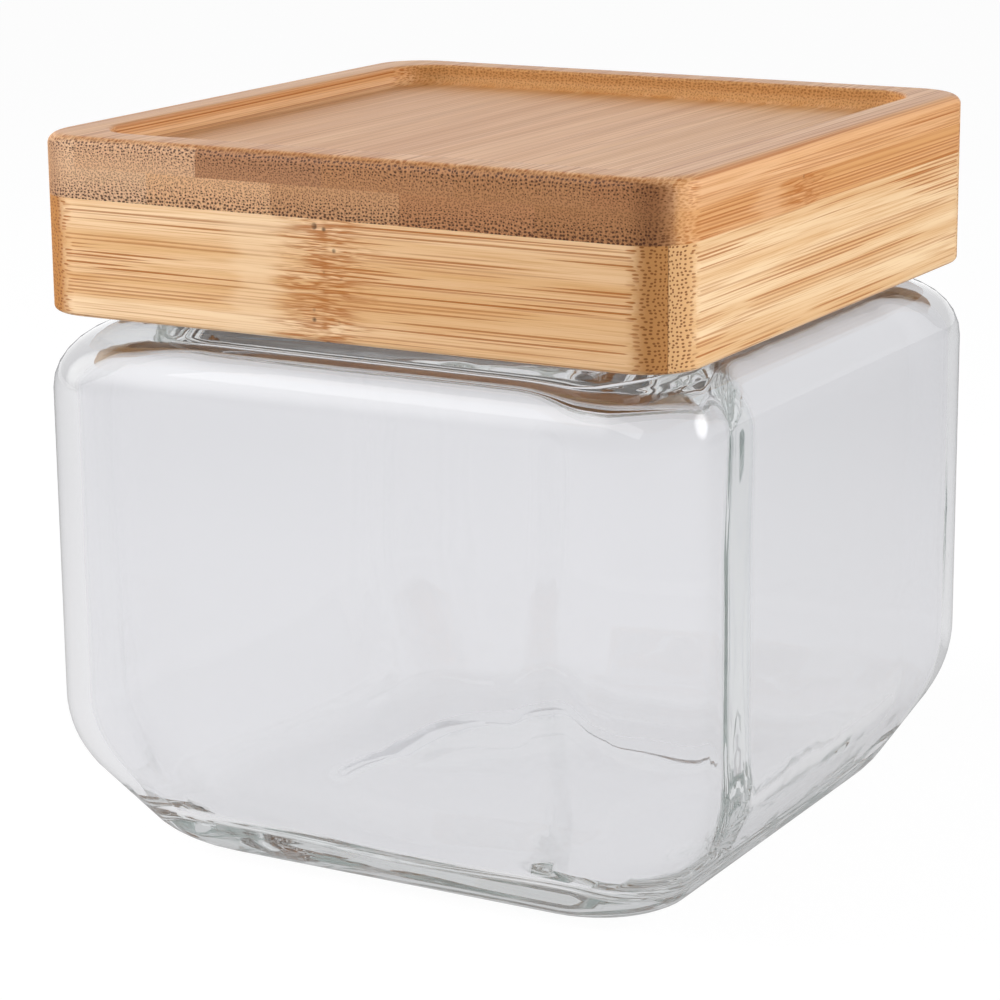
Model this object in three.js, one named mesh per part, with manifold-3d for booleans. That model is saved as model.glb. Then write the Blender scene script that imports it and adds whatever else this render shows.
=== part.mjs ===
// A square glass canister with a lift-off lid of laminated bamboo.
// Millimetres, +Z up, origin at the centre of the foot, front towards -Y.

import * as THREE from 'three';
import { mergeVertices } from 'three/addons/utils/BufferGeometryUtils.js';
import Module from 'manifold-3d';

// Glass jar, outside
const JAR_WIDTH = 120; // across the flat sides
const JAR_CORNER = 11; // upright corners
const SHOULDER_HEIGHT = 92.5; // from the table to the flat of the shoulder
const SHOULDER_ROUND = 11;
const CHAMFER_RISE = 22; // height of the slope that narrows to the foot
const CHAMFER_RUN = 12.4; // how far the slope comes in on each side
const CHAMFER_ROUND = 25; // soft bend between the side and the slope
const FOOT_ROUND = 13.5; // between the slope and the foot
const FOOT_CORNER = 14; // corners of the foot, seen from below
const PUNT_WIDTH = 56; // shallow hollow in the foot
const PUNT_DEPTH = 1;
const PUNT_SLOPE = 6; // width of the hollow's sloping edge

// Glass jar, walls
const WALL = 4;
const BASE = 8; // thickness of the floor
const CAVITY_CORNER = 9;
const FLOOR_ROUND = 9; // between the floor and the inside of the slope
const NECK_WALL = 4;
const NECK_CORNER = 13;
const NECK_ROUND = 1.5; // where the neck meets the shoulder
const RIM_ROUND = 1.25; // fire-polished rim

// Lid
const LID_INSET = 1.25; // how far the lid's sides lie inside the jar's
const LID_GAP = 2; // air between the shoulder and the lid
const LID_CORNER = 8.5;
const LID_TOP_ROUND = 1.75;
const LID_BOTTOM_ROUND = 1;
const RAIL_HEIGHT = 19.5;
const RAIL_THICKNESS = 10;
const MITRE_GLUE = 0.3; // glue line between two rails
const NECK_CLEARANCE = 2.25; // between the neck and the rails
const PLY = 5; // thickness of each layer of staves
const LOWER_STAVES = 5;
const JOINT_SHIFT = 9.5; // how far the upper layer's joints are staggered
const RECESS_DEPTH = 3.5; // takes the foot of a canister stacked on top
const RECESS_CORNER = 9;
const RECESS_COVE = 2;
const STACKING_CLEARANCE = 2;

// Silicone seal
const SEAL_THICKNESS = 2.5;
const SEAL_LIP = 1; // how far the seal reaches in over the mouth
const SEAL_CORNER = 12;
const SEAL_CLEARANCE = 0.3; // between the seal and the rails

// Fineness of the curves
const CORNER_STEPS = 6;
const FILLET_STEPS = 5;

// Sizes that follow from those above, as half widths and heights
const jarHalf = JAR_WIDTH / 2;
const footHalf = jarHalf - CHAMFER_RUN;
const cavityHalf = jarHalf - WALL;
const lidHalf = jarHalf - LID_INSET;
const railInner = lidHalf - RAIL_THICKNESS;
const neckHalf = railInner - NECK_CLEARANCE;
const mouthHalf = neckHalf - NECK_WALL;
const lidBottom = SHOULDER_HEIGHT + LID_GAP;
const panelBottom = lidBottom + RAIL_HEIGHT;
const plyJoint = panelBottom + PLY;
const lidTop = plyJoint + PLY;
const rimTop = panelBottom - SEAL_THICKNESS;

const wasm = await Module();
wasm.setup();

// A closed geometry as a solid that can be joined and cut.
function solid(geometry) {
  const bare = geometry.clone();
  bare.deleteAttribute('normal');
  bare.deleteAttribute('uv');
  const merged = mergeVertices(bare);
  const mesh = new wasm.Mesh({
    numProp: 3,
    vertProperties: merged.attributes.position.array,
    triVerts: new Uint32Array(merged.index.array),
  });
  return new wasm.Manifold(mesh);
}

// The geometry of a solid, for a mesh.
function geometryOf(body) {
  const { vertProperties, triVerts } = body.getMesh();
  const geometry = new THREE.BufferGeometry();
  geometry.setAttribute('position', new THREE.BufferAttribute(vertProperties, 3));
  geometry.setIndex(new THREE.BufferAttribute(triVerts, 1));
  return geometry;
}

// One node of the canister, with a material of its own.
function piece(name, geometry, finish) {
  const faceted = geometry.index ? geometry.toNonIndexed() : geometry;
  faceted.computeVertexNormals();
  const mesh = new THREE.Mesh(faceted, new THREE.MeshStandardMaterial(finish));
  mesh.name = name;
  return mesh;
}

// Points round a square with round corners, as many at every size.
function squareRing({ half, corner, z }) {
  const sides = [[1, 1], [-1, 1], [-1, -1], [1, -1]];
  const centre = half - corner;
  const points = [];
  sides.forEach(([sideX, sideY], quarter) => {
    for (let step = 0; step <= CORNER_STEPS; step += 1) {
      const turn = (quarter + step / CORNER_STEPS) * Math.PI / 2;
      const x = sideX * centre + corner * Math.cos(turn);
      const y = sideY * centre + corner * Math.sin(turn);
      points.push(x, y, z);
    }
  });
  return points;
}

// A closed skin over a stack of square rings, with flat ends.
function loft(rings) {
  const around = 4 * (CORNER_STEPS + 1);
  const firstCentre = rings.length * around;
  const lastCentre = firstCentre + 1;
  const lastRing = (rings.length - 1) * around;
  const points = rings.flatMap(squareRing);
  points.push(0, 0, rings[0].z, 0, 0, rings.at(-1).z);
  const faces = [];
  for (let i = 0; i < around; i += 1) {
    const next = (i + 1) % around;
    faces.push(firstCentre, next, i);
    for (let base = 0; base < lastRing; base += around) {
      const above = base + around;
      faces.push(base + i, base + next, above + next);
      faces.push(base + i, above + next, above + i);
    }
    faces.push(lastCentre, lastRing + i, lastRing + next);
  }
  const geometry = new THREE.BufferGeometry();
  geometry.setAttribute('position', new THREE.Float32BufferAttribute(points, 3));
  geometry.setIndex(faces);
  return geometry;
}

// Rings along a profile of straight stretches, each bend rounded by its own fillet.
function filleted(bends) {
  return bends.flatMap(({ half, z, corner, fillet = 0 }, index) => {
    if (fillet === 0) return [{ half, z, corner }];
    const at = new THREE.Vector2(half, z);
    const back = new THREE.Vector2(bends[index - 1].half, bends[index - 1].z).sub(at).normalize();
    const on = new THREE.Vector2(bends[index + 1].half, bends[index + 1].z).sub(at).normalize();
    const opening = Math.acos(back.dot(on));
    const sweep = Math.PI - opening;
    const centre = back.clone().add(on).normalize().multiplyScalar(fillet / Math.sin(opening / 2)).add(at);
    const reach = fillet / Math.tan(opening / 2);
    const start = at.clone().addScaledVector(back, reach).sub(centre);
    const end = at.clone().addScaledVector(on, reach).sub(centre);
    return Array.from({ length: FILLET_STEPS + 1 }, (_, step) => {
      const turn = sweep * step / FILLET_STEPS;
      const point = centre.clone();
      point.addScaledVector(start, Math.sin(sweep - turn) / Math.sin(sweep));
      point.addScaledVector(end, Math.sin(turn) / Math.sin(sweep));
      return { half: point.x, z: point.y, corner };
    });
  });
}

// An upright block between two corners.
function block([x0, y0, z0], [x1, y1, z1]) {
  const outline = new THREE.Shape();
  outline.moveTo(x0, y0).lineTo(x1, y0).lineTo(x1, y1).lineTo(x0, y1);
  const geometry = new THREE.ExtrudeGeometry(outline, { depth: z1 - z0, bevelEnabled: false });
  return geometry.translate(0, 0, z0);
}

// Jar: one moulded skin, from the punt, up the outside, over the rim and down to the floor.
function jarGeometry() {
  const slope = CHAMFER_RUN / CHAMFER_RISE;
  const slopeWall = WALL * Math.hypot(1, slope); // the slope's wall, measured level
  const puntHalf = PUNT_WIDTH / 2;
  const ceiling = SHOULDER_HEIGHT - WALL;
  const floorHalf = footHalf + BASE * slope - slopeWall;
  const innerBend = (cavityHalf + slopeWall - footHalf) / slope;
  return loft(filleted([
    { half: puntHalf - PUNT_SLOPE, z: PUNT_DEPTH, corner: FOOT_CORNER },
    { half: puntHalf, z: 0, corner: FOOT_CORNER },
    { half: footHalf, z: 0, corner: FOOT_CORNER, fillet: FOOT_ROUND },
    { half: jarHalf, z: CHAMFER_RISE, corner: JAR_CORNER, fillet: CHAMFER_ROUND },
    { half: jarHalf, z: SHOULDER_HEIGHT, corner: JAR_CORNER, fillet: SHOULDER_ROUND },
    { half: neckHalf, z: SHOULDER_HEIGHT, corner: NECK_CORNER, fillet: NECK_ROUND },
    { half: neckHalf, z: rimTop, corner: NECK_CORNER, fillet: RIM_ROUND },
    { half: mouthHalf, z: rimTop, corner: NECK_CORNER - NECK_WALL, fillet: RIM_ROUND },
    { half: mouthHalf, z: ceiling, corner: NECK_CORNER - NECK_WALL, fillet: NECK_ROUND },
    { half: cavityHalf, z: ceiling, corner: CAVITY_CORNER, fillet: SHOULDER_ROUND - WALL },
    { half: cavityHalf, z: innerBend, corner: CAVITY_CORNER, fillet: CHAMFER_ROUND - WALL },
    { half: floorHalf, z: BASE, corner: CAVITY_CORNER, fillet: FLOOR_ROUND },
    { half: puntHalf, z: BASE, corner: CAVITY_CORNER },
  ]));
}

// Rail: one side of the lid's frame, mitred at 45 degrees. Side 0 is the front, then by quarter turns.
function railGeometry(side) {
  const frame = solid(loft(filleted([
    { half: railInner, z: lidBottom, corner: LID_CORNER },
    { half: lidHalf, z: lidBottom, corner: LID_CORNER, fillet: LID_BOTTOM_ROUND },
    { half: lidHalf, z: panelBottom, corner: LID_CORNER },
  ])));
  const beyond = lidHalf + RAIL_THICKNESS;
  const low = lidBottom - RAIL_HEIGHT;
  const high = panelBottom + RAIL_HEIGHT;
  const inside = solid(block([-railInner, -railInner, low], [railInner, railInner, high]));
  const set = MITRE_GLUE / Math.SQRT2;
  const wedge = new THREE.Shape();
  wedge.moveTo(0, -set).lineTo(-beyond, -beyond - set).lineTo(beyond, -beyond - set);
  const sector = new THREE.ExtrudeGeometry(wedge, { depth: high - low, bevelEnabled: false });
  sector.translate(0, 0, low).rotateZ(side * Math.PI / 2);
  return geometryOf(frame.subtract(inside).intersect(solid(sector)));
}

// Panel: the lid's two layers of staves as one blank, with the stacking recess routed into its top.
function panelBlank() {
  const footAtRim = footHalf + RECESS_DEPTH * CHAMFER_RUN / CHAMFER_RISE;
  const recessHalf = footAtRim + STACKING_CLEARANCE;
  const board = solid(loft(filleted([
    { half: lidHalf, z: panelBottom, corner: LID_CORNER },
    { half: lidHalf, z: lidTop, corner: LID_CORNER, fillet: LID_TOP_ROUND },
    { half: railInner, z: lidTop, corner: LID_CORNER },
  ])));
  const recess = solid(loft(filleted([
    { half: footHalf - RECESS_COVE, z: lidTop - RECESS_DEPTH, corner: RECESS_CORNER },
    { half: recessHalf, z: lidTop - RECESS_DEPTH, corner: RECESS_CORNER, fillet: RECESS_COVE },
    { half: recessHalf, z: lidTop + RECESS_DEPTH, corner: RECESS_CORNER },
  ])));
  return board.subtract(recess);
}

// Staves: strips of the panel that run from front to back, between the joints of one layer.
function staves(layer, joints, bottom, top, finish) {
  const panel = panelBlank();
  return joints.slice(1).map((right, index) => {
    const strip = solid(block([joints[index], -lidHalf, bottom], [right, lidHalf, top]));
    return piece(`${layer}_stave_${index + 1}`, geometryOf(panel.intersect(strip)), finish);
  });
}

// Seal: a flat ring that lies on the rim, under the panel.
function sealGeometry() {
  const ringPath = (half, corner) => {
    const ring = squareRing({ half, corner, z: 0 });
    const count = ring.length / 3;
    return Array.from({ length: count }, (_, i) => new THREE.Vector2(ring[3 * i], ring[3 * i + 1]));
  };
  const sealHalf = railInner - SEAL_CLEARANCE;
  const holeHalf = mouthHalf - SEAL_LIP;
  const outline = new THREE.Shape(ringPath(sealHalf, SEAL_CORNER));
  outline.holes.push(new THREE.Path(ringPath(holeHalf, SEAL_CORNER - (sealHalf - holeHalf))));
  const geometry = new THREE.ExtrudeGeometry(outline, { depth: SEAL_THICKNESS, bevelEnabled: false });
  return geometry.translate(0, 0, rimTop);
}

const GLASS = { color: 0xe3eae8, roughness: 0.04, metalness: 0 };
const RAIL_BAMBOO = { color: 0xe3b678, roughness: 0.5, metalness: 0 };
const LOWER_BAMBOO = { color: 0xb98a5a, roughness: 0.6, metalness: 0 };
const UPPER_BAMBOO = { color: 0xcb9a66, roughness: 0.55, metalness: 0 };
const SILICONE = { color: 0xe9ebe8, roughness: 0.6, metalness: 0 };

const staveWidth = 2 * lidHalf / LOWER_STAVES;
const lowerJoints = Array.from({ length: LOWER_STAVES + 1 }, (_, i) => i * staveWidth - lidHalf);
const upperJoints = lowerJoints.map((joint) => joint + JOINT_SHIFT);
upperJoints.unshift(-lidHalf);
upperJoints[upperJoints.length - 1] = lidHalf;

const jar = new THREE.Group();
jar.add(piece('glass_jar', jarGeometry(), GLASS));

const lid = new THREE.Group();
['front', 'right', 'back', 'left'].forEach((name, side) => {
  lid.add(piece(`rail_${name}`, railGeometry(side), RAIL_BAMBOO));
});
lid.add(...staves('lower', lowerJoints, panelBottom, plyJoint, LOWER_BAMBOO));
lid.add(...staves('upper', upperJoints, plyJoint, lidTop, UPPER_BAMBOO));
lid.add(piece('seal_ring', sealGeometry(), SILICONE));

const canister = new THREE.Group();
canister.add(jar, lid);

export default canister;
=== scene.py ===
"""Looks of a square glass canister with a lift-off lid of laminated bamboo, built around its CAD frame."""

import math

import bmesh
import bpy
from mathutils import Matrix, Vector, noise


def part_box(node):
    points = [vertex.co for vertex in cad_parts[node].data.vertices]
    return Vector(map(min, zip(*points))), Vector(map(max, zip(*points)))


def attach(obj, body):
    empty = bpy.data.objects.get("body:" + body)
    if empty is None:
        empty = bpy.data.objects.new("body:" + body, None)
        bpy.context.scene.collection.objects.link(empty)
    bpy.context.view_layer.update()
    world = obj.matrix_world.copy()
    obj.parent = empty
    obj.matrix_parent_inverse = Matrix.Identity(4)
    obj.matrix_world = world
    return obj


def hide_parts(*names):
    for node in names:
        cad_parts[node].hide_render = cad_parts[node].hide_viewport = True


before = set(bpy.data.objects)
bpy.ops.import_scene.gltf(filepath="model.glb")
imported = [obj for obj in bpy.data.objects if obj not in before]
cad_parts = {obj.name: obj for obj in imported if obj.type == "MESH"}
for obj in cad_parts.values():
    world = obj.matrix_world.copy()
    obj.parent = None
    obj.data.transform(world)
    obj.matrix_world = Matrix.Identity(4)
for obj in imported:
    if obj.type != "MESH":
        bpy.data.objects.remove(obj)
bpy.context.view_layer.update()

MM = 0.001
PER_METRE = 1000  # mm
QUARTER = math.pi / 2

# Sizes that the frame gives, in metres
jar_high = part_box("glass_jar")[1]
rail_low, rail_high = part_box("rail_right")
seal_low, seal_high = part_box("seal_ring")
JAR_HALF = jar_high.x
RIM_TOP = jar_high.z
LID_HALF = rail_high.x
RAIL_INNER = rail_low.x
LID_BOTTOM = rail_low.z
PANEL_BOTTOM = rail_high.z
PLY_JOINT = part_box("lower_stave_1")[1].z
LID_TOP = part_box("upper_stave_1")[1].z

# Jar, outside
JAR_CORNER = 11 * MM
SHOULDER_GAP = 2 * MM  # under the rails
SHOULDER_HEIGHT = LID_BOTTOM - SHOULDER_GAP
SHOULDER_ROUND = 11 * MM
CHAMFER_RISE = 22 * MM
CHAMFER_RUN = 12.4 * MM
CHAMFER_ROUND = 25 * MM
FOOT_ROUND = 13.5 * MM
FOOT_CORNER = 14 * MM
FOOT_HALF = JAR_HALF - CHAMFER_RUN
PUNT_HALF = 28 * MM
PUNT_DEPTH = 1 * MM
PUNT_STEP = 1.2 * MM
PUNT_RISE = 0.4 * MM

# Jar, walls
WALL = 4 * MM
BASE = 8 * MM
CEILING = SHOULDER_HEIGHT - WALL
CAVITY_HALF = JAR_HALF - WALL
CAVITY_CORNER = 9 * MM
FLOOR_ROUND = 5 * MM
NECK_CLEARANCE = 2.25 * MM  # inside the rails
NECK_HALF = RAIL_INNER - NECK_CLEARANCE
NECK_WALL = 4 * MM
NECK_CORNER = 13 * MM
NECK_ROUND = 1.5 * MM
RIM_ROUND = 1.25 * MM
MOUTH_HALF = NECK_HALF - NECK_WALL
MOUTH_CORNER = NECK_CORNER - NECK_WALL

# Lid
LID_CORNER = 8.5 * MM
LID_TOP_ROUND = 1.75 * MM
LID_BOTTOM_ROUND = 1 * MM
RAIL_INNER_CORNER = 0.5 * MM
MITRE_GAP = 0.08 * MM
RECESS_DEPTH = 3.5 * MM
RECESS_CLEARANCE = 2 * MM  # round the foot of a second canister
RECESS_HALF = FOOT_HALF + RECESS_DEPTH * CHAMFER_RUN / CHAMFER_RISE + RECESS_CLEARANCE
RECESS_CORNER = 9 * MM
RECESS_COVE = 2 * MM
RECESS_EDGE = 0.6 * MM
SEAL_CORNER = 12 * MM
SEAL_HOLE_CORNER = 6 * MM
SEAL_OVERHANG = 1 * MM  # past the rim's inner edge
SEAL_HOLE = MOUTH_HALF - SEAL_OVERHANG
SEAL_EDGE = 0.5 * MM

# Fineness of the meshes
CORNER_STEPS = 12
ARC_STEPS = 8
SIDE_CUTS = 27
GLASS_SIDE_CUTS = 63
GLASS_ROW = 3 * MM
LID_ROW = 2.5 * MM
MIDDLE_HALF = 3 * MM  # the flat patch that closes a skin
MIDDLE_CORNER = MIDDLE_HALF / 2
STRAIGHT = 1e-7  # metres that a straight edge may stray
MERGED = 1e-6  # metres within which points are one
SHARP = math.radians(32)


def square_loop(mesh, half, z, corner):
    """The edges of a level square with round corners."""
    square = bmesh.ops.create_grid(mesh, x_segments=1, y_segments=1, size=half)["verts"]
    bmesh.ops.translate(mesh, verts=square, vec=(0, 0, z))
    rounded = bmesh.ops.bevel(mesh, geom=square, offset=corner, offset_type="OFFSET", segments=CORNER_STEPS,
                              profile=0.5, affect="VERTICES", material=-1)
    face = rounded["verts"][0].link_faces[0]
    edges = list(face.edges)
    bmesh.ops.delete(mesh, geom=[face], context="FACES_ONLY")
    return edges


def arc_points(before, at, after, fillet):
    """Points of the arc that rounds a bend of a profile."""
    back = (before - at).normalized()
    onward = (after - at).normalized()
    opening = back.angle(onward)
    centre = at + (back + onward).normalized() * fillet / math.sin(opening / 2)
    reach = fillet / math.tan(opening / 2)
    start = at + back * reach - centre
    end = at + onward * reach - centre
    return [centre + start.slerp(end, step / ARC_STEPS) * fillet for step in range(ARC_STEPS + 1)]


def levels(bends, spacing):
    """Half width, height and corner of every loop along a profile with rounded bends."""
    points = [Vector(bend[:2]) for bend in bends]
    found = []
    for index, bend in enumerate(bends):
        corner, fillet = bend[2:]
        stretch = [points[index]]
        if fillet:
            stretch = arc_points(points[index - 1], points[index], points[index + 1], fillet)
        if found:
            last, last_corner = found[-1]
            gap = (stretch[0] - last).length
            cuts = int(gap / spacing)
            for step in range(1, cuts + 1):
                share = step / (cuts + 1)
                found.append((last.lerp(stretch[0], share), last_corner + (corner - last_corner) * share))
        found += [(point, corner) for point in stretch]
    return [(point.x, point.y, corner) for point, corner in found]


def next_loop(mesh, loop, old, new):
    """Extrudes a loop of edges to the next level, and gives the new loop."""
    grown = bmesh.ops.extrude_edge_only(mesh, edges=loop)["geom"]
    verts = {part for part in grown if isinstance(part, bmesh.types.BMVert)}
    (old_half, old_z, old_corner), (new_half, new_z, new_corner) = old, new
    for side_x, side_y in ((1, 1), (-1, 1), (-1, -1), (1, -1)):
        corner = [vert for vert in verts if vert.co.x * side_x > 0 and vert.co.y * side_y > 0]
        old_centre = Vector((side_x, side_y, 0)) * (old_half - old_corner) + Vector((0, 0, old_z))
        new_centre = Vector((side_x, side_y, 0)) * (new_half - new_corner) + Vector((0, 0, new_z))
        grow = Matrix.Scale(new_corner / old_corner, 4)
        move = Matrix.Translation(new_centre) @ grow @ Matrix.Translation(-old_centre)
        bmesh.ops.transform(mesh, matrix=move, verts=corner)
    edges = [part for part in grown if isinstance(part, bmesh.types.BMEdge)]
    return [edge for edge in edges if verts.issuperset(edge.verts)]


def loft(bends, spacing, side_cuts=SIDE_CUTS):
    """A closed skin over square loops along a profile, whose bends are half width, height, corner and fillet.
    A profile that ends where it starts makes a ring."""
    mesh = bmesh.new()
    rows = levels(bends, spacing)
    loops = [square_loop(mesh, *rows[0])]
    for old, new in zip(rows, rows[1:]):
        loops.append(next_loop(mesh, loops[-1], old, new))
    straight = [edge for loop in loops for edge in loop
                if min(abs(edge.verts[0].co[axis] - edge.verts[1].co[axis]) for axis in (0, 1)) < STRAIGHT]
    if bends[0] != bends[-1]:
        for end in (loops[0], loops[-1]):
            bmesh.ops.edgeloop_fill(mesh, edges=end)
    bmesh.ops.subdivide_edges(mesh, edges=straight, cuts=side_cuts, use_grid_fill=True)
    bmesh.ops.remove_doubles(mesh, verts=mesh.verts, dist=MERGED)
    bmesh.ops.recalc_face_normals(mesh, faces=mesh.faces)
    return mesh


def cut(mesh, place, normal):
    """Takes away what lies beyond a plane and closes the cut."""
    everything = mesh.verts[:] + mesh.edges[:] + mesh.faces[:]
    made = bmesh.ops.bisect_plane(mesh, geom=everything, dist=STRAIGHT, plane_co=place, plane_no=normal,
                                  clear_outer=True)
    rim = [part for part in made["geom_cut"] if isinstance(part, bmesh.types.BMEdge)]
    bmesh.ops.edgeloop_fill(mesh, edges=rim)


def new_object(name, mesh, material):
    """An object at the origin, from its mesh."""
    data = bpy.data.meshes.new(name)
    mesh.to_mesh(data)
    mesh.free()
    data.materials.append(material)
    thing = bpy.data.objects.new(name, data)
    bpy.context.scene.collection.objects.link(thing)
    return thing


def finished(name, mesh, material, body, node):
    """A piece of the object, from its mesh: smooth, with crisp edges where faces meet at an angle."""
    bmesh.ops.recalc_face_normals(mesh, faces=mesh.faces)
    for face in mesh.faces:
        face.smooth = True
    for edge in mesh.edges:
        edge.smooth = edge.calc_face_angle(0) < SHARP
    piece = new_object(name, mesh, material)
    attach(piece, body)
    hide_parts(node)


# Glass jar

INNER_WAVE = 0.22 * MM
FLOOR_WAVE = 0.8 * MM
WAVE_LENGTH = 30 * MM
WAVE_FADE = 6 * MM  # below the ceiling, where the waves die out
CORNER_THIN = 2 * MM  # how much thinner the glass is at its corners
THIN_REACH = 12 * MM  # from the corner along each wall
THICKENING = 13 * MM  # the stretch from the thin to the full wall
EDGE_DRIFT = 2.5 * MM  # how far the edge of the thin stretch wanders
FACES_IN = 0.2  # the least lean towards the axis that makes a wall an inner one
FACES_UP = 0.5  # the least lean upwards that makes it the floor


def moulded_skin():
    """The jar's skin, from the punt, up the outside, over the rim and down to the floor."""
    slope = CHAMFER_RUN / CHAMFER_RISE
    slope_wall = WALL * math.hypot(1, slope)
    floor_half = FOOT_HALF + BASE * slope - slope_wall
    inner_bend = (CAVITY_HALF + slope_wall - FOOT_HALF) / slope
    return loft([
        (MIDDLE_HALF, PUNT_DEPTH, MIDDLE_CORNER, 0),
        (PUNT_HALF - PUNT_STEP, PUNT_RISE, FOOT_CORNER - PUNT_STEP, 0),
        (PUNT_HALF, 0, FOOT_CORNER, 0),
        (FOOT_HALF, 0, FOOT_CORNER, FOOT_ROUND),
        (JAR_HALF, CHAMFER_RISE, JAR_CORNER, CHAMFER_ROUND),
        (JAR_HALF, SHOULDER_HEIGHT, JAR_CORNER, SHOULDER_ROUND),
        (NECK_HALF, SHOULDER_HEIGHT, NECK_CORNER, NECK_ROUND),
        (NECK_HALF, RIM_TOP, NECK_CORNER, RIM_ROUND),
        (MOUTH_HALF, RIM_TOP, MOUTH_CORNER, RIM_ROUND),
        (MOUTH_HALF, CEILING, MOUTH_CORNER, NECK_ROUND),
        (CAVITY_HALF, CEILING, CAVITY_CORNER, SHOULDER_ROUND - WALL),
        (CAVITY_HALF, inner_bend, CAVITY_CORNER, CHAMFER_ROUND - WALL),
        (floor_half, BASE, CAVITY_CORNER, FLOOR_ROUND),
        (MIDDLE_HALF, BASE, MIDDLE_CORNER, 0),
    ], GLASS_ROW, GLASS_SIDE_CUTS)


def blown_waves(mesh):
    """Uneven glass on the inside, which air shaped and not the mould: slow waves, and thin at the corners."""
    mesh.normal_update()
    moves = []
    for vert in mesh.verts:
        lean = vert.normal.x * vert.co.x + vert.normal.y * vert.co.y
        inward = lean < -FACES_IN * vert.co.xy.length
        floor = vert.normal.z > FACES_UP and vert.co.z < BASE + FLOOR_ROUND
        if not (inward or floor) or vert.co.z > CEILING:
            continue
        wave = noise.noise(vert.co / WAVE_LENGTH)
        if floor:
            move = FLOOR_WAVE * wave
        else:
            from_corner = abs(abs(vert.co.x) - abs(vert.co.y)) + EDGE_DRIFT * wave
            share = min(1, max(0, (from_corner - THIN_REACH) / THICKENING))
            move = INNER_WAVE * wave - CORNER_THIN * (1 - share * share * (3 - 2 * share))
        fade = min(1, (CEILING - vert.co.z) / WAVE_FADE)
        moves.append((vert, vert.normal * move * fade))
    for vert, move in moves:
        vert.co += move


# Materials

def linear(code):
    """An sRGB hex colour as linear numbers."""
    parts = [int(code[start:start + 2], 16) / 255 for start in (1, 3, 5)]
    return [part / 12.92 if part <= 0.04045 else ((part + 0.055) / 1.055) ** 2.4 for part in parts] + [1]


def add(tree, kind, inputs, **settings):
    """A node with its settings, and its inputs as values or as sockets to link from."""
    made = tree.nodes.new("ShaderNode" + kind)
    for name, value in settings.items():
        setattr(made, name, value)
    for socket, value in inputs.items():
        if isinstance(value, bpy.types.NodeSocket):
            tree.links.new(value, made.inputs[socket])
        else:
            made.inputs[socket].default_value = value
    return made


def new_material(name):
    """An empty material and its node tree."""
    material = bpy.data.materials.new(name)
    material.use_nodes = True
    material.node_tree.nodes.clear()
    return material, material.node_tree


RIPPLE = 9 * MM
RIPPLE_HEIGHT = 0.05 * MM


def clear_soda_lime():
    """Clear soda-lime glass, blown in a mould and fire-polished: glossy, with a faint green depth at its
    edges. The cool mould leaves low ripples, which bend what is seen in it and through it a little."""
    material, tree = new_material("clear_soda_lime_glass")
    place = add(tree, "TexCoord", {}).outputs["Object"]
    ripple = add(tree, "TexNoise", {"Vector": place, "Scale": 1 / RIPPLE, "Detail": 1}).outputs["Fac"]
    bump = add(tree, "Bump", {"Height": ripple, "Strength": 0.5, "Distance": RIPPLE_HEIGHT})
    shader = add(tree, "BsdfPrincipled", {
        "Base Color": linear("#fafafc"),
        "Roughness": 0.0,
        "IOR": 1.5,
        "Transmission Weight": 1.0,
        "Normal": bump.outputs["Normal"],
    })
    depth = add(tree, "VolumeAbsorption", {"Color": linear("#c0d0cb"), "Density": 1.8})
    add(tree, "OutputMaterial", {"Surface": shader.outputs["BSDF"], "Volume": depth.outputs["Volume"]})
    return material


CLOUD = 6 * MM
BLASTED_GRAIN = 0.3 * MM  # coarser than the real skin, so that it shows
BLASTED_HEIGHT = 0.02 * MM


def matte_silicone():
    """Silicone rubber from a blasted steel mould: milky and cloudy, with a fine skin that makes it matte."""
    material, tree = new_material("moulded_silicone")
    place = add(tree, "TexCoord", {}).outputs["Object"]
    cloud = add(tree, "TexNoise", {"Vector": place, "Scale": 1 / CLOUD, "Detail": 3}).outputs["Fac"]
    colour = add(tree, "Mix", {0: cloud, 6: linear("#dde0de"), 7: linear("#eff0ee")}, data_type="RGBA")
    rough = add(tree, "MapRange", {"Value": cloud, "To Min": 0.45, "To Max": 0.65}).outputs[0]
    skin = add(tree, "TexNoise", {"Vector": place, "Scale": 1 / BLASTED_GRAIN, "Detail": 2}).outputs["Fac"]
    bump = add(tree, "Bump", {"Height": skin, "Strength": 0.4, "Distance": BLASTED_HEIGHT})
    shader = add(tree, "BsdfPrincipled", {
        "Base Color": colour.outputs[2],
        "Roughness": rough,
        "IOR": 1.41,
        "Normal": bump.outputs["Normal"],
    })
    add(tree, "OutputMaterial", {"Surface": shader.outputs["BSDF"]})
    return material


# Bamboo: sizes in mm. A pair is across and up a ply, or into a rail's face and up it.
PLY_CELL = (0.74, 0.56)  # between the dark fibre bundles
RAIL_CELL = (0.42, 0.6)
PLY_SWAY = (2.4, 2.4)  # how far the bundles drift
RAIL_SWAY = (2, 0.4)
DRIFT_WIDTH = 8
PLY_DRIFT_LENGTH = 160
RAIL_DRIFT_LENGTH = 95
FINE_BUNDLE = 0.42  # between the bundles towards the inner side of the culm
GRAIN_HEIGHT = 0.05
THREADS_PER_MM = (5, 5, 0.06)  # across and along the strip
BANDS_PER_MM = (0.3, 0.3, 0.006)

# Bamboo: lean of a face along the fibres at which the end grain begins and is full
PLY_END = (0.3, 0.9)
RAIL_END = (0.02, 0.42)

# Bamboo: depth behind the lid's front or back where the outer end grain stops and painted light is full
OUTER_END = 3 * MM
PAINTED_LIGHT_DEPTH = 4 * MM

# Bamboo: radius of a bundle as a share of its cell, and the darkness of the faintest
RAIL_BUNDLE = 0.26
FINEST_PLY_BUNDLE = 0.08
COARSEST_PLY_BUNDLE = 0.36
FAINTEST_BUNDLE = 0.42

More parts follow.
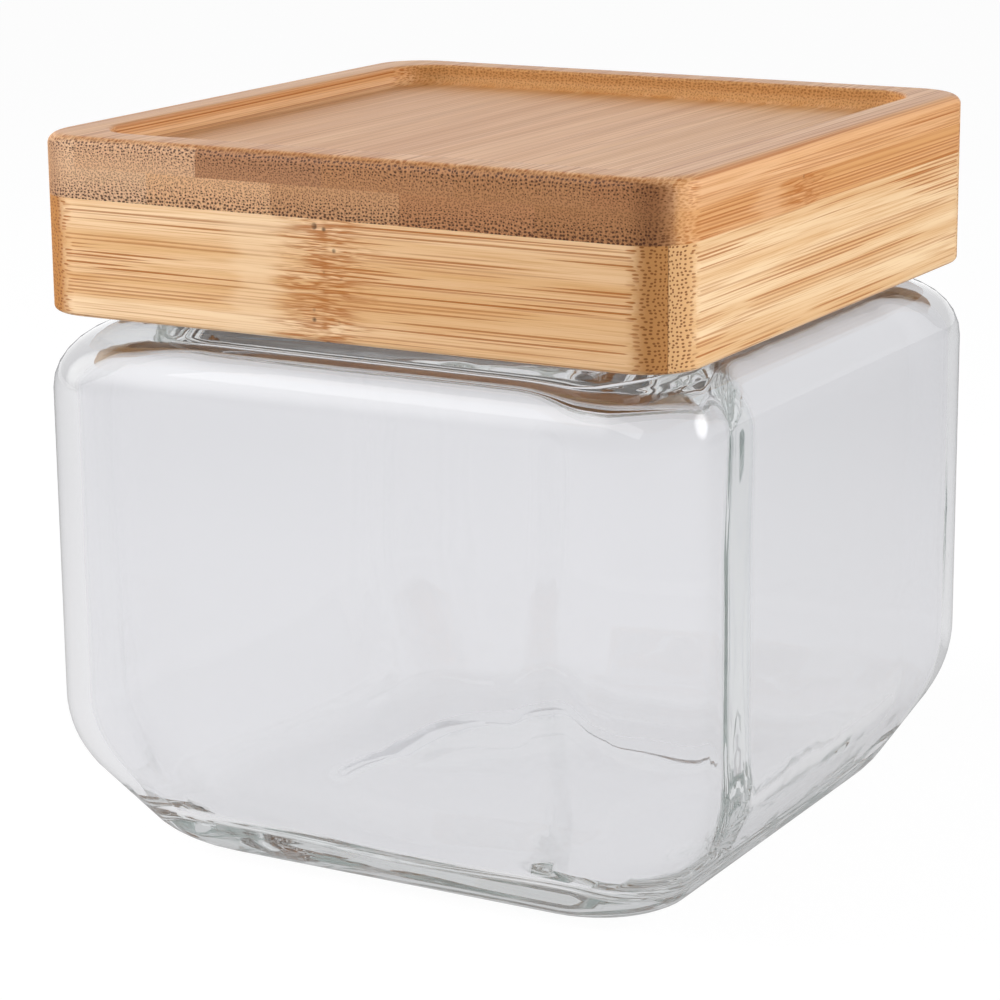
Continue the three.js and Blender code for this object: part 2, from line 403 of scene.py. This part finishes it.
# Bamboo: a node of the culm, in mm
RAGS_PER_MM = (0.7, 0.7, 0.05)
RAG_DEPTH = 16
PALE_GAP = 13  # before the node
FLECKS_PER_MM = (3.2, 3.2, 0.2)
PIT_SPACING = 2.6

# Bamboo: colours
THREAD = "#c58845"
STREAK = "#ad6420"
RAIL_DOT = "#7f4a1c"
PLY_DOT = "#48220a"
# Painted shade on the rounded corners of the plies' end grain, where it turns towards the sides
PAINTED_CORNER_SHADE = "#7a4a26"
# Painted light: the end grain of the recess walls and its dots are paler than the outer end grain
PAINTED_LIGHT_RECESS_END = "#c9945a"
PAINTED_LIGHT_RECESS_DOT = "#a06c38"
BEYOND_NODE = "#d39a5c"
NODE_SEAM = "#b9793f"
NODE_PIT = "#3a1d0c"


def in_section(pair, fibre):
    """A rail's pair of sizes, in the order of the turned strip's axes."""
    return pair if fibre == "Y" else pair[::-1]


def drifting_fibres(tree, mm, fibre, plies):
    """Places along the fibres. The bundles drift a little along the strip, so a planed face cuts them into
    streaks that come and go."""
    sway = PLY_SWAY if plies else in_section(RAIL_SWAY, fibre)
    length = PLY_DRIFT_LENGTH if plies else RAIL_DRIFT_LENGTH
    slow = add(tree, "Mapping", {"Vector": mm, "Scale": (1 / DRIFT_WIDTH, 1 / DRIFT_WIDTH, 1 / length)})
    drift = add(tree, "TexNoise", {"Vector": slow.outputs["Vector"], "Scale": 1, "Detail": 1})
    return add(tree, "VectorMath", {0: drift.outputs["Color"], 1: (*sway, 0), 2: mm},
               operation="MULTIPLY_ADD").outputs[0]


def end_grain(tree, place, fibre, plies):
    """How far a face cuts the fibres across: 0 where it is planed along them, 1 at their ends."""
    along = (1, 0, 0) if fibre == "X" else (0, 1, 0)
    end = add(tree, "VectorMath", {0: place["Normal"], 1: along}, operation="DOT_PRODUCT").outputs["Value"]
    end = add(tree, "Math", {0: end}, operation="ABSOLUTE").outputs[0]
    first, full = PLY_END if plies else RAIL_END
    return add(tree, "MapRange", {"Value": end, "From Min": first, "From Max": full},
               interpolation_type="SMOOTHSTEP").outputs[0]


def fibre_bundles(tree, place, bent, end, fibre, plies):
    """The dark bundles. In a ply they are coarse at its face and fine at the joint, with finer ones between
    them."""
    cell = PLY_CELL if plies else in_section(RAIL_CELL, fibre)
    cells = add(tree, "Mapping", {"Vector": bent, "Scale": (1 / cell[0], 1 / cell[1], 1)}).outputs["Vector"]
    coarse = add(tree, "TexVoronoi", {"Vector": cells, "Scale": 1, "Randomness": 0.55},
                 voronoi_dimensions="2D").outputs
    weight = add(tree, "SeparateColor", {"Color": coarse["Color"]}).outputs[0]
    weight = add(tree, "MapRange", {"Value": weight, "To Min": FAINTEST_BUNDLE}).outputs[0]
    weight = add(tree, "Math", {0: weight, 1: end}, operation="MAXIMUM").outputs[0]
    radius = RAIL_BUNDLE
    if plies:
        height = add(tree, "SeparateXYZ", {"Vector": place["Object"]}).outputs["Z"]
        radius = add(tree, "MapRange", {
            "Value": height,
            "From Min": plies[0],
            "From Max": plies[1],
            "To Min": FINEST_PLY_BUNDLE,
            "To Max": COARSEST_PLY_BUNDLE,
        }).outputs[0]
    spot = add(tree, "Math", {0: coarse["Distance"], 1: radius}, operation="DIVIDE").outputs[0]
    spot = add(tree, "MapRange", {"Value": spot, "From Min": 1.25, "From Max": 0.75},
               interpolation_type="SMOOTHSTEP").outputs[0]
    bundle = add(tree, "Math", {0: spot, 1: weight}, operation="MULTIPLY").outputs[0]
    if not plies:
        return bundle
    fine = add(tree, "TexVoronoi", {"Vector": bent, "Scale": 1 / FINE_BUNDLE, "Randomness": 0.8},
               voronoi_dimensions="2D").outputs["Distance"]
    fine = add(tree, "MapRange", {"Value": fine, "From Min": 0.5, "From Max": 0.1, "To Max": 0.6}).outputs[0]
    return add(tree, "Math", {0: bundle, 1: fine}, operation="MAXIMUM").outputs[0]


def pith(tree, mm, bent, pale, tan):
    """The ground between the bundles, in broad pale and tan bands, and the fine threads in it."""
    broad = add(tree, "Mapping", {"Vector": mm, "Scale": BANDS_PER_MM}).outputs["Vector"]
    broad = add(tree, "TexNoise", {"Vector": broad, "Scale": 1, "Detail": 2}).outputs["Fac"]
    broad = add(tree, "MapRange", {"Value": broad, "From Min": 0.35, "From Max": 0.65}).outputs[0]
    thread = add(tree, "Mapping", {"Vector": bent, "Scale": THREADS_PER_MM}).outputs["Vector"]
    thread = add(tree, "TexNoise", {"Vector": thread, "Scale": 1, "Detail": 2}).outputs["Fac"]
    thread = add(tree, "MapRange", {"Value": thread, "From Min": 0.45, "From Max": 0.75, "To Max": 0.6})
    thread = thread.outputs[0]
    ground = add(tree, "Mix", {0: broad, 6: linear(pale), 7: linear(tan)}, data_type="RGBA").outputs[2]
    ground = add(tree, "Mix", {0: thread, 6: ground, 7: linear(THREAD)}, data_type="RGBA").outputs[2]
    return ground, thread


def ply_ends(tree, place, sawn):
    """The end grain of a ply and its dots, with painted light that makes the end grain and dots of the recess
    walls paler, and painted shade that darkens the rounded corners where the end grain turns to the sides."""
    # Painted light: paler end grain and dots on the recess walls, away from the lid's front and back faces
    inside = add(tree, "SeparateXYZ", {"Vector": place["Object"]}).outputs["Y"]
    inside = add(tree, "Math", {0: inside}, operation="ABSOLUTE").outputs[0]
    inside = add(tree, "MapRange", {"Value": inside, "From Min": LID_HALF - OUTER_END,
                                    "From Max": LID_HALF - PAINTED_LIGHT_DEPTH}).outputs[0]
    # Painted shade: the end grain darkens where a corner turns it towards the sides
    corner_shade = add(tree, "SeparateXYZ", {"Vector": place["Normal"]}).outputs["X"]
    corner_shade = add(tree, "Math", {0: corner_shade}, operation="ABSOLUTE").outputs[0]
    corner_shade = add(tree, "MapRange", {"Value": corner_shade, "From Min": 0.05, "From Max": 0.45, "To Max": 0.5})
    sawn = add(tree, "Mix", {0: corner_shade.outputs[0], 6: linear(sawn), 7: linear(PAINTED_CORNER_SHADE)}, data_type="RGBA")
    sawn = add(tree, "Mix", {0: inside, 6: sawn.outputs[2], 7: linear(PAINTED_LIGHT_RECESS_END)}, data_type="RGBA")
    dots = add(tree, "Mix", {0: inside, 6: linear(PLY_DOT), 7: linear(PAINTED_LIGHT_RECESS_DOT)}, data_type="RGBA")
    return sawn.outputs[2], dots.outputs[2]


def culm_node(tree, place, mm, fibre, knot, pale, ground, strength):
    """At a node of the culm the bundles part: a pale gap, then short dark flecks, a seam and a few pits.
    Gives the new ground, the new strength of the bundles, and the pits."""
    mid = add(tree, "SeparateXYZ", {"Vector": place["Object"]}).outputs[fibre]
    mid = add(tree, "Math", {0: mid, 1: PER_METRE, 2: -knot}, operation="MULTIPLY_ADD").outputs[0]
    ragged = add(tree, "Mapping", {"Vector": mm, "Scale": RAGS_PER_MM}).outputs["Vector"]
    ragged = add(tree, "TexNoise", {"Vector": ragged, "Scale": 1, "Detail": 2}).outputs["Fac"]
    ragged = add(tree, "Math", {0: ragged, 1: RAG_DEPTH, 2: -RAG_DEPTH / 2},
                 operation="MULTIPLY_ADD").outputs[0]
    wander = add(tree, "Math", {0: mid, 1: ragged}, operation="ADD").outputs[0]

    gap = add(tree, "Math", {0: wander, 1: PALE_GAP}, operation="ADD").outputs[0]
    gap = add(tree, "Math", {0: gap}, operation="ABSOLUTE").outputs[0]
    gap = add(tree, "MapRange", {"Value": gap, "From Min": 7, "From Max": 2, "To Max": 0.45},
              interpolation_type="SMOOTHSTEP").outputs[0]
    kept = add(tree, "Math", {0: 1, 1: gap}, operation="SUBTRACT").outputs[0]
    strength = add(tree, "Math", {0: strength, 1: kept}, operation="MULTIPLY").outputs[0]
    ground = add(tree, "Mix", {0: gap, 6: ground, 7: linear(pale)}, data_type="RGBA").outputs[2]
    beyond = add(tree, "MapRange", {"Value": wander, "From Max": 8, "To Max": 0.3}).outputs[0]
    ground = add(tree, "Mix", {0: beyond, 6: ground, 7: linear(BEYOND_NODE)}, data_type="RGBA").outputs[2]

    zone = add(tree, "Math", {0: wander}, operation="ABSOLUTE").outputs[0]
    zone = add(tree, "MapRange", {"Value": zone, "From Min": 11, "From Max": 3},
               interpolation_type="SMOOTHSTEP").outputs[0]
    fleck = add(tree, "Mapping", {"Vector": mm, "Scale": FLECKS_PER_MM}).outputs["Vector"]
    fleck = add(tree, "TexNoise", {"Vector": fleck, "Scale": 1, "Detail": 2, "Distortion": 0.6})
    fleck = add(tree, "MapRange", {"Value": fleck.outputs["Fac"], "From Min": 0.42, "From Max": 0.6,
                                   "To Max": 0.88}).outputs[0]
    fleck = add(tree, "Math", {0: fleck, 1: zone}, operation="MULTIPLY").outputs[0]
    strength = add(tree, "Math", {0: strength, 1: fleck}, operation="MAXIMUM").outputs[0]

    seam = add(tree, "Math", {0: ragged, 1: 0.25, 2: mid}, operation="MULTIPLY_ADD").outputs[0]
    seam = add(tree, "Math", {0: seam}, operation="ABSOLUTE").outputs[0]
    line = add(tree, "MapRange", {"Value": seam, "From Min": 0.9, "From Max": 0.1, "To Max": 0.3})
    ground = add(tree, "Mix", {0: line.outputs[0], 6: ground, 7: linear(NODE_SEAM)},
                 data_type="RGBA").outputs[2]
    near = add(tree, "MapRange", {"Value": seam, "From Min": 3.2, "From Max": 1.5}).outputs[0]
    pits = add(tree, "TexVoronoi", {"Vector": place["Object"], "Scale": PER_METRE / PIT_SPACING})
    pits = add(tree, "MapRange", {"Value": pits.outputs["Distance"], "From Min": 0.24, "From Max": 0.14})
    pits = add(tree, "Math", {0: pits.outputs[0], 1: near}, operation="MULTIPLY").outputs[0]
    return ground, strength, pits


def laminated_bamboo(name, fibre, shift, tones, plies=None, knot=None):
    """Bamboo strips, planed and finished in oil: dark fibre bundles in pale pith, seen as streaks along the
    fibres and as dots where the fibres end. fibre is X or Y, shift gives each strip its own bundles, tones
    are its pale and tan pith and its end grain, which holds painted light and shade, plies are the heights
    where the bundles are finest and coarsest, and knot is the place of a culm's node along the strip, in mm."""
    pale, tan, sawn = tones
    material, tree = new_material(name)
    place = add(tree, "TexCoord", {}).outputs
    mm = add(tree, "Mapping", {
        "Vector": place["Object"],
        "Location": shift,
        "Rotation": (0, -QUARTER, 0) if fibre == "X" else (QUARTER, 0, 0),
        "Scale": (PER_METRE, PER_METRE, PER_METRE),
    }).outputs["Vector"]
    bent = drifting_fibres(tree, mm, fibre, plies)
    end = end_grain(tree, place, fibre, plies)
    bundle = fibre_bundles(tree, place, bent, end, fibre, plies)
    ground, thread = pith(tree, mm, bent, pale, tan)
    sawn, dots = ply_ends(tree, place, sawn) if plies else (linear(sawn), linear(RAIL_DOT))
    ground = add(tree, "Mix", {0: end, 6: ground, 7: sawn}, data_type="RGBA").outputs[2]
    dark = add(tree, "Mix", {0: end, 6: linear(STREAK), 7: dots}, data_type="RGBA").outputs[2]
    strength = add(tree, "Math", {0: bundle, 1: 0.95}, operation="MULTIPLY").outputs[0]
    if knot is not None:
        ground, strength, pits = culm_node(tree, place, mm, fibre, knot, pale, ground, strength)
    colour = add(tree, "Mix", {0: strength, 6: ground, 7: dark}, data_type="RGBA").outputs[2]
    if knot is not None:
        colour = add(tree, "Mix", {0: pits, 6: colour, 7: linear(NODE_PIT)}, data_type="RGBA").outputs[2]

    relief = add(tree, "Math", {0: strength, 1: thread}, operation="ADD").outputs[0]
    bump = add(tree, "Bump", {"Height": relief, "Strength": 0.25, "Distance": GRAIN_HEIGHT * MM}, invert=True)
    rough = add(tree, "MapRange", {"Value": end, "To Min": 0.43, "To Max": 0.55}).outputs[0]
    shader = add(tree, "BsdfPrincipled", {
        "Base Color": colour,
        "Roughness": rough,
        "IOR": 1.47,
        "Normal": bump.outputs["Normal"],
    })
    add(tree, "OutputMaterial", {"Surface": shader.outputs["BSDF"]})
    return material


# Lid

def rail_bar():
    """The front rail: a side of the lid's frame, mitred at both ends."""
    mesh = loft([
        (RAIL_INNER, PANEL_BOTTOM, RAIL_INNER_CORNER, 0),
        (RAIL_INNER, LID_BOTTOM, RAIL_INNER_CORNER, 0),
        (LID_HALF, LID_BOTTOM, LID_CORNER, LID_BOTTOM_ROUND),
        (LID_HALF, PANEL_BOTTOM, LID_CORNER, 0),
        (RAIL_INNER, PANEL_BOTTOM, RAIL_INNER_CORNER, 0),
    ], LID_ROW)
    set_back = MITRE_GAP / math.sqrt(2)
    for side in (-1, 1):
        cut(mesh, (0, -set_back, 0), (side, 1, 0))
    return mesh


def panel_blank():
    """The lid's panel before it is cut into staves, with the stacking recess in its top."""
    floor = LID_TOP - RECESS_DEPTH
    return loft([
        (MIDDLE_HALF, PANEL_BOTTOM, MIDDLE_CORNER, 0),
        (LID_HALF, PANEL_BOTTOM, LID_CORNER, 0),
        (LID_HALF, LID_TOP, LID_CORNER, LID_TOP_ROUND),
        (RECESS_HALF, LID_TOP, RECESS_CORNER, RECESS_EDGE),
        (RECESS_HALF, floor, RECESS_CORNER, RECESS_COVE),
        (MIDDLE_HALF, floor, MIDDLE_CORNER, 0),
    ], LID_ROW)


def stave(node):
    """One strip of the panel, between the joints that its CAD node gives."""
    low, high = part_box(node)
    mesh = panel_blank()
    for corner, way in ((low, -1), (high, 1)):
        if abs(corner.x) < LID_HALF - MM:
            cut(mesh, corner, (way, 0, 0))
        if abs(corner.z - PLY_JOINT) < MM:
            cut(mesh, corner, (0, 0, way))
    return mesh


def seal_band():
    """The flat seal that lies on the jar's rim, with soft outer edges."""
    return loft([
        (SEAL_HOLE, seal_high.z, SEAL_HOLE_CORNER, 0),
        (SEAL_HOLE, seal_low.z, SEAL_HOLE_CORNER, 0),
        (seal_high.x, seal_low.z, SEAL_CORNER, SEAL_EDGE),
        (seal_high.x, seal_high.z, SEAL_CORNER, SEAL_EDGE),
        (SEAL_HOLE, seal_high.z, SEAL_HOLE_CORNER, 0),
    ], LID_ROW)


RAIL_KNOTS = {"front": -2, "back": 24, "left": 14}  # mm from the middle
STAVE_KNOTS = {"lower_stave_5": -13}

# Pale pith, tan pith and end grain of each strip
# The rails' end grain holds painted light and shade: the front rail's is darker end grain plus painted corner
# shade, and the right rail's is paler with painted light from the right
RAIL_TONES = {
    "front": ("#f7d6ad", "#e4b681", "#ad763e"),
    "right": ("#f1d2a8", "#dfb482", "#d8a974"),
    "back": ("#f7d6a9", "#e4b57d", "#bd8c58"),
    "left": ("#f7d6a9", "#e4b57d", "#c79560"),
}
# The staves' end grain holds painted light: paler on the left-hand strips and darker towards the right, as
# light falls from the left
STAVE_TONES = {
    "lower_stave_1": ("#e4b07e", "#d59a60", "#d8ae88"),
    "lower_stave_2": ("#e4b07e", "#d59a60", "#d8a87c"),
    "lower_stave_3": ("#e4b07e", "#d59a60", "#c49266"),
    "lower_stave_4": ("#e4b07e", "#d59a60", "#b57e52"),
    "lower_stave_5": ("#e5b587", "#d8a16b", "#ad784b"),
    "upper_stave_1": ("#e8b888", "#d9a269", "#dcb28c"),
    "upper_stave_2": ("#e4b07e", "#d59a60", "#d6a982"),
    "upper_stave_3": ("#dda873", "#cf9257", "#b07d56"),
    "upper_stave_4": ("#e4b07e", "#d59a60", "#b58054"),
    "upper_stave_5": ("#e8b888", "#d9a269", "#b27d50"),
    "upper_stave_6": ("#e5b587", "#d8a16b", "#af784c"),
}


def build_jar():
    """The glass jar, uneven on its inside."""
    mesh = moulded_skin()
    blown_waves(mesh)
    finished("jar_glass", mesh, clear_soda_lime(), "jar", "glass_jar")


def build_lid():
    """Four rails, two plies of staves and the seal. Each strip comes from its own place in a culm."""
    for turn, side in enumerate(("front", "right", "back", "left")):
        mesh = rail_bar()
        bmesh.ops.rotate(mesh, verts=mesh.verts, matrix=Matrix.Rotation(turn * QUARTER, 3, "Z"))
        fibre = "Y" if turn % 2 else "X"
        shift = (13 * turn + 3, 7 * turn + 4, 110)
        finish = laminated_bamboo(f"bamboo_rail_{side}", fibre, shift, RAIL_TONES[side],
                                  knot=RAIL_KNOTS.get(side))
        finished(f"lid_rail_{side}", mesh, finish, "lid", f"rail_{side}")
    for layer, face in (("lower", PANEL_BOTTOM), ("upper", LID_TOP)):
        nodes = sorted(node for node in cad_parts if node.startswith(layer))
        for index, node in enumerate(nodes):
            shift = (11 * index, 5 * index, 31 * index)
            finish = laminated_bamboo(f"bamboo_{node}", "Y", shift, STAVE_TONES[node],
                                      plies=(PLY_JOINT, face), knot=STAVE_KNOTS.get(node))
            finished(f"lid_{node}", stave(node), finish, "lid", node)
    finished("lid_seal", seal_band(), matte_silicone(), "lid", "seal_ring")


# Stage

FLOOR_HALF = 6  # metres
FLOOR_GLOW = 0.9  # share of the floor's white that shadows leave
FLOOR_WHITE = 1.06  # brings glow and paint together to white
FLOOR_GAP = 0.1 * MM  # light leaves the foot's glass before it meets the floor
FLOOR_NEAR = 0.12  # metres from the jar's axis
FLOOR_FAR = 0.4
MIRRORED_FLOOR = (0.4, 0.08)  # how bright the floor looks in the glass, near and far
FLOOR_IN_GLASS = (0.9, 0.84)  # and through it


def pale_floor():
    """A large pale floor that shows white to the camera and keeps a soft shadow."""
    material, tree = new_material("pale_floor")
    rays = add(tree, "LightPath", {}).outputs
    shown = add(tree, "Math", {0: rays["Is Camera Ray"], 1: rays["Is Glossy Ray"]}, operation="MAXIMUM")
    shown = add(tree, "Math", {0: shown.outputs[0], 1: rays["Is Transmission Ray"]}, operation="MAXIMUM")
    share = add(tree, "Math", {0: shown.outputs[0], 1: FLOOR_GLOW}, operation="MULTIPLY").outputs[0]
    away = add(tree, "TexCoord", {}).outputs["Object"]
    away = add(tree, "VectorMath", {0: away}, operation="LENGTH").outputs["Value"]
    mirrored, clear = [add(tree, "MapRange", {
        "Value": away,
        "From Min": FLOOR_NEAR,
        "From Max": FLOOR_FAR,
        "To Min": near,
        "To Max": far,
    }).outputs[0] for near, far in (MIRRORED_FLOOR, FLOOR_IN_GLASS)]
    level = add(tree, "Mix", {0: rays["Is Transmission Ray"], 2: mirrored, 3: clear}).outputs[0]
    level = add(tree, "Mix", {0: rays["Is Camera Ray"], 2: level, 3: FLOOR_WHITE}).outputs[0]
    paint = add(tree, "BsdfDiffuse", {"Color": linear("#e8e8ea")})
    glow = add(tree, "Emission", {"Strength": level})
    mixed = add(tree, "MixShader", {0: share, 1: paint.outputs["BSDF"], 2: glow.outputs["Emission"]})
    add(tree, "OutputMaterial", {"Surface": mixed.outputs["Shader"]})
    mesh = bmesh.new()
    ground = bmesh.ops.create_grid(mesh, x_segments=1, y_segments=1, size=FLOOR_HALF)["verts"]
    bmesh.ops.translate(mesh, verts=ground, vec=(0, 0, -FLOOR_GAP))
    floor = new_object("floor", mesh, material)


BACKDROP_IN_GLASS = 0.69  # how bright the white surroundings look through the glass
SOFT_LIGHT = (0.32, 0.56)  # from the camera's side and from behind
OVERHEAD = 0.1  # share of the soft light that is left straight above
SHEEN = (0.2, 1.32)  # what gloss mirrors on the camera's side and behind
SHEEN_RIGHT = 0.3  # share of the sheen that is left on the right

# Soft lamps that the glass mirrors: the way to each, the cosines at its rim and its core, and its level
MIRRORED_LAMPS = (
    ((0.66, 0.67, 0.34), 0.955, 0.995, 5.6),
    ((-0.76, -0.48, 0.44), 0.86, 0.985, 4.0),
)


def studio_world():
    """A white background, with soft light that is dimmer from above and from the camera's side."""
    world = bpy.data.worlds.new("studio")
    bpy.context.scene.world = world
    world.use_nodes = True
    tree = world.node_tree
    tree.nodes.clear()
    toward = add(tree, "TexCoord", {}).outputs["Generated"]
    way = add(tree, "SeparateXYZ", {"Vector": toward}).outputs
    back = add(tree, "MapRange", {"Value": way["Y"], "From Min": -1, "From Max": 0.6,
                                  "To Min": SOFT_LIGHT[0], "To Max": SOFT_LIGHT[1]}).outputs[0]
    high = add(tree, "MapRange", {"Value": way["Z"], "To Min": 1.0, "To Max": OVERHEAD}).outputs[0]
    soft = add(tree, "Math", {0: back, 1: high}, operation="MULTIPLY").outputs[0]
    sheen = add(tree, "MapRange", {"Value": way["Y"], "From Min": -0.2, "From Max": 0.7,
                                   "To Min": SHEEN[0], "To Max": SHEEN[1]}).outputs[0]
    left = add(tree, "MapRange", {"Value": way["X"], "From Min": -0.3, "From Max": 0.5,
                                  "To Min": 1.0, "To Max": SHEEN_RIGHT}).outputs[0]
    sheen = add(tree, "Math", {0: sheen, 1: left}, operation="MULTIPLY").outputs[0]
    for lamp, rim, core, bright in MIRRORED_LAMPS:
        glow = add(tree, "VectorMath", {0: toward, 1: Vector(lamp).normalized()}, operation="DOT_PRODUCT")
        glow = add(tree, "MapRange", {"Value": glow.outputs["Value"], "From Min": rim, "From Max": core,
                                      "To Max": bright}, interpolation_type="SMOOTHSTEP").outputs[0]
        sheen = add(tree, "Math", {0: sheen, 1: glow}, operation="ADD").outputs[0]
    rays = add(tree, "LightPath", {}).outputs
    level = add(tree, "Mix", {0: rays["Is Glossy Ray"], 2: soft, 3: sheen}).outputs[0]
    level = add(tree, "Mix", {0: rays["Is Transmission Ray"], 2: level, 3: BACKDROP_IN_GLASS}).outputs[0]
    level = add(tree, "Mix", {0: rays["Is Camera Ray"], 2: level, 3: 1.0}).outputs[0]
    light = add(tree, "Background", {"Color": linear("#ffffff"), "Strength": level})
    add(tree, "OutputWorld", {"Surface": light.outputs[0]})


def facing(azimuth, elevation):
    """The turn of a lamp or a camera that stands at these angles, in degrees, and looks at the object."""
    turn = Matrix.Rotation(math.radians(azimuth), 4, "Z")
    return turn @ Matrix.Rotation(QUARTER - math.radians(elevation), 4, "X")


def softbox(name, azimuth, elevation, distance, width, height, power, mirrored):
    """A broad lamp that looks at the object. Not every one is mirrored in the glass."""
    data = bpy.data.lights.new(name, "AREA")
    data.shape = "RECTANGLE"
    data.size = width
    data.size_y = height
    data.energy = power
    lamp = bpy.data.objects.new(name, data)
    middle = Matrix.Translation((0, 0, LID_TOP / 2))
    lamp.matrix_world = middle @ facing(azimuth, elevation) @ Matrix.Translation((0, 0, distance))
    lamp.visible_transmission = False
    lamp.visible_glossy = mirrored
    bpy.context.scene.collection.objects.link(lamp)


# Azimuth, elevation, distance, width and height in metres, power in watts, and whether the glass mirrors it
SOFTBOXES = {
    "left_softbox": (-60, 10, 0.9, 0.35, 0.9, 10.6, False),
    "right_softbox": (88, 15, 0.9, 0.3, 0.8, 6.9, False),
    "front_softbox": (-10, 45, 0.8, 0.8, 0.3, 1.2, True),
}

LIGHT_BOUNCES = 128  # light runs along inside the walls of glass by many reflections

CAMERA_PLACE = (268.5 * MM, -481.2 * MM, 196.3 * MM)
CAMERA_AZIMUTH = 29.56
CAMERA_ELEVATION = 14.25
CAMERA_ROLL = -0.54
CAMERA_LENS = 117.9


def photo_camera():
    """The camera at the photograph's angle."""
    data = bpy.data.cameras.new("camera")
    data.lens = CAMERA_LENS
    camera = bpy.data.objects.new("camera", data)
    roll = Matrix.Rotation(math.radians(CAMERA_ROLL), 4, "Z")
    camera.matrix_world = Matrix.Translation(CAMERA_PLACE) @ facing(CAMERA_AZIMUTH, CAMERA_ELEVATION) @ roll
    bpy.context.scene.collection.objects.link(camera)
    bpy.context.scene.camera = camera


build_jar()
build_lid()
pale_floor()
studio_world()
for name, settings in SOFTBOXES.items():
    softbox(name, *settings)
photo_camera()
bpy.context.scene.view_settings.view_transform = "Standard"
for kind in ("max_bounces", "transmission_bounces", "glossy_bounces"):
    setattr(bpy.context.scene.cycles, kind, LIGHT_BOUNCES)
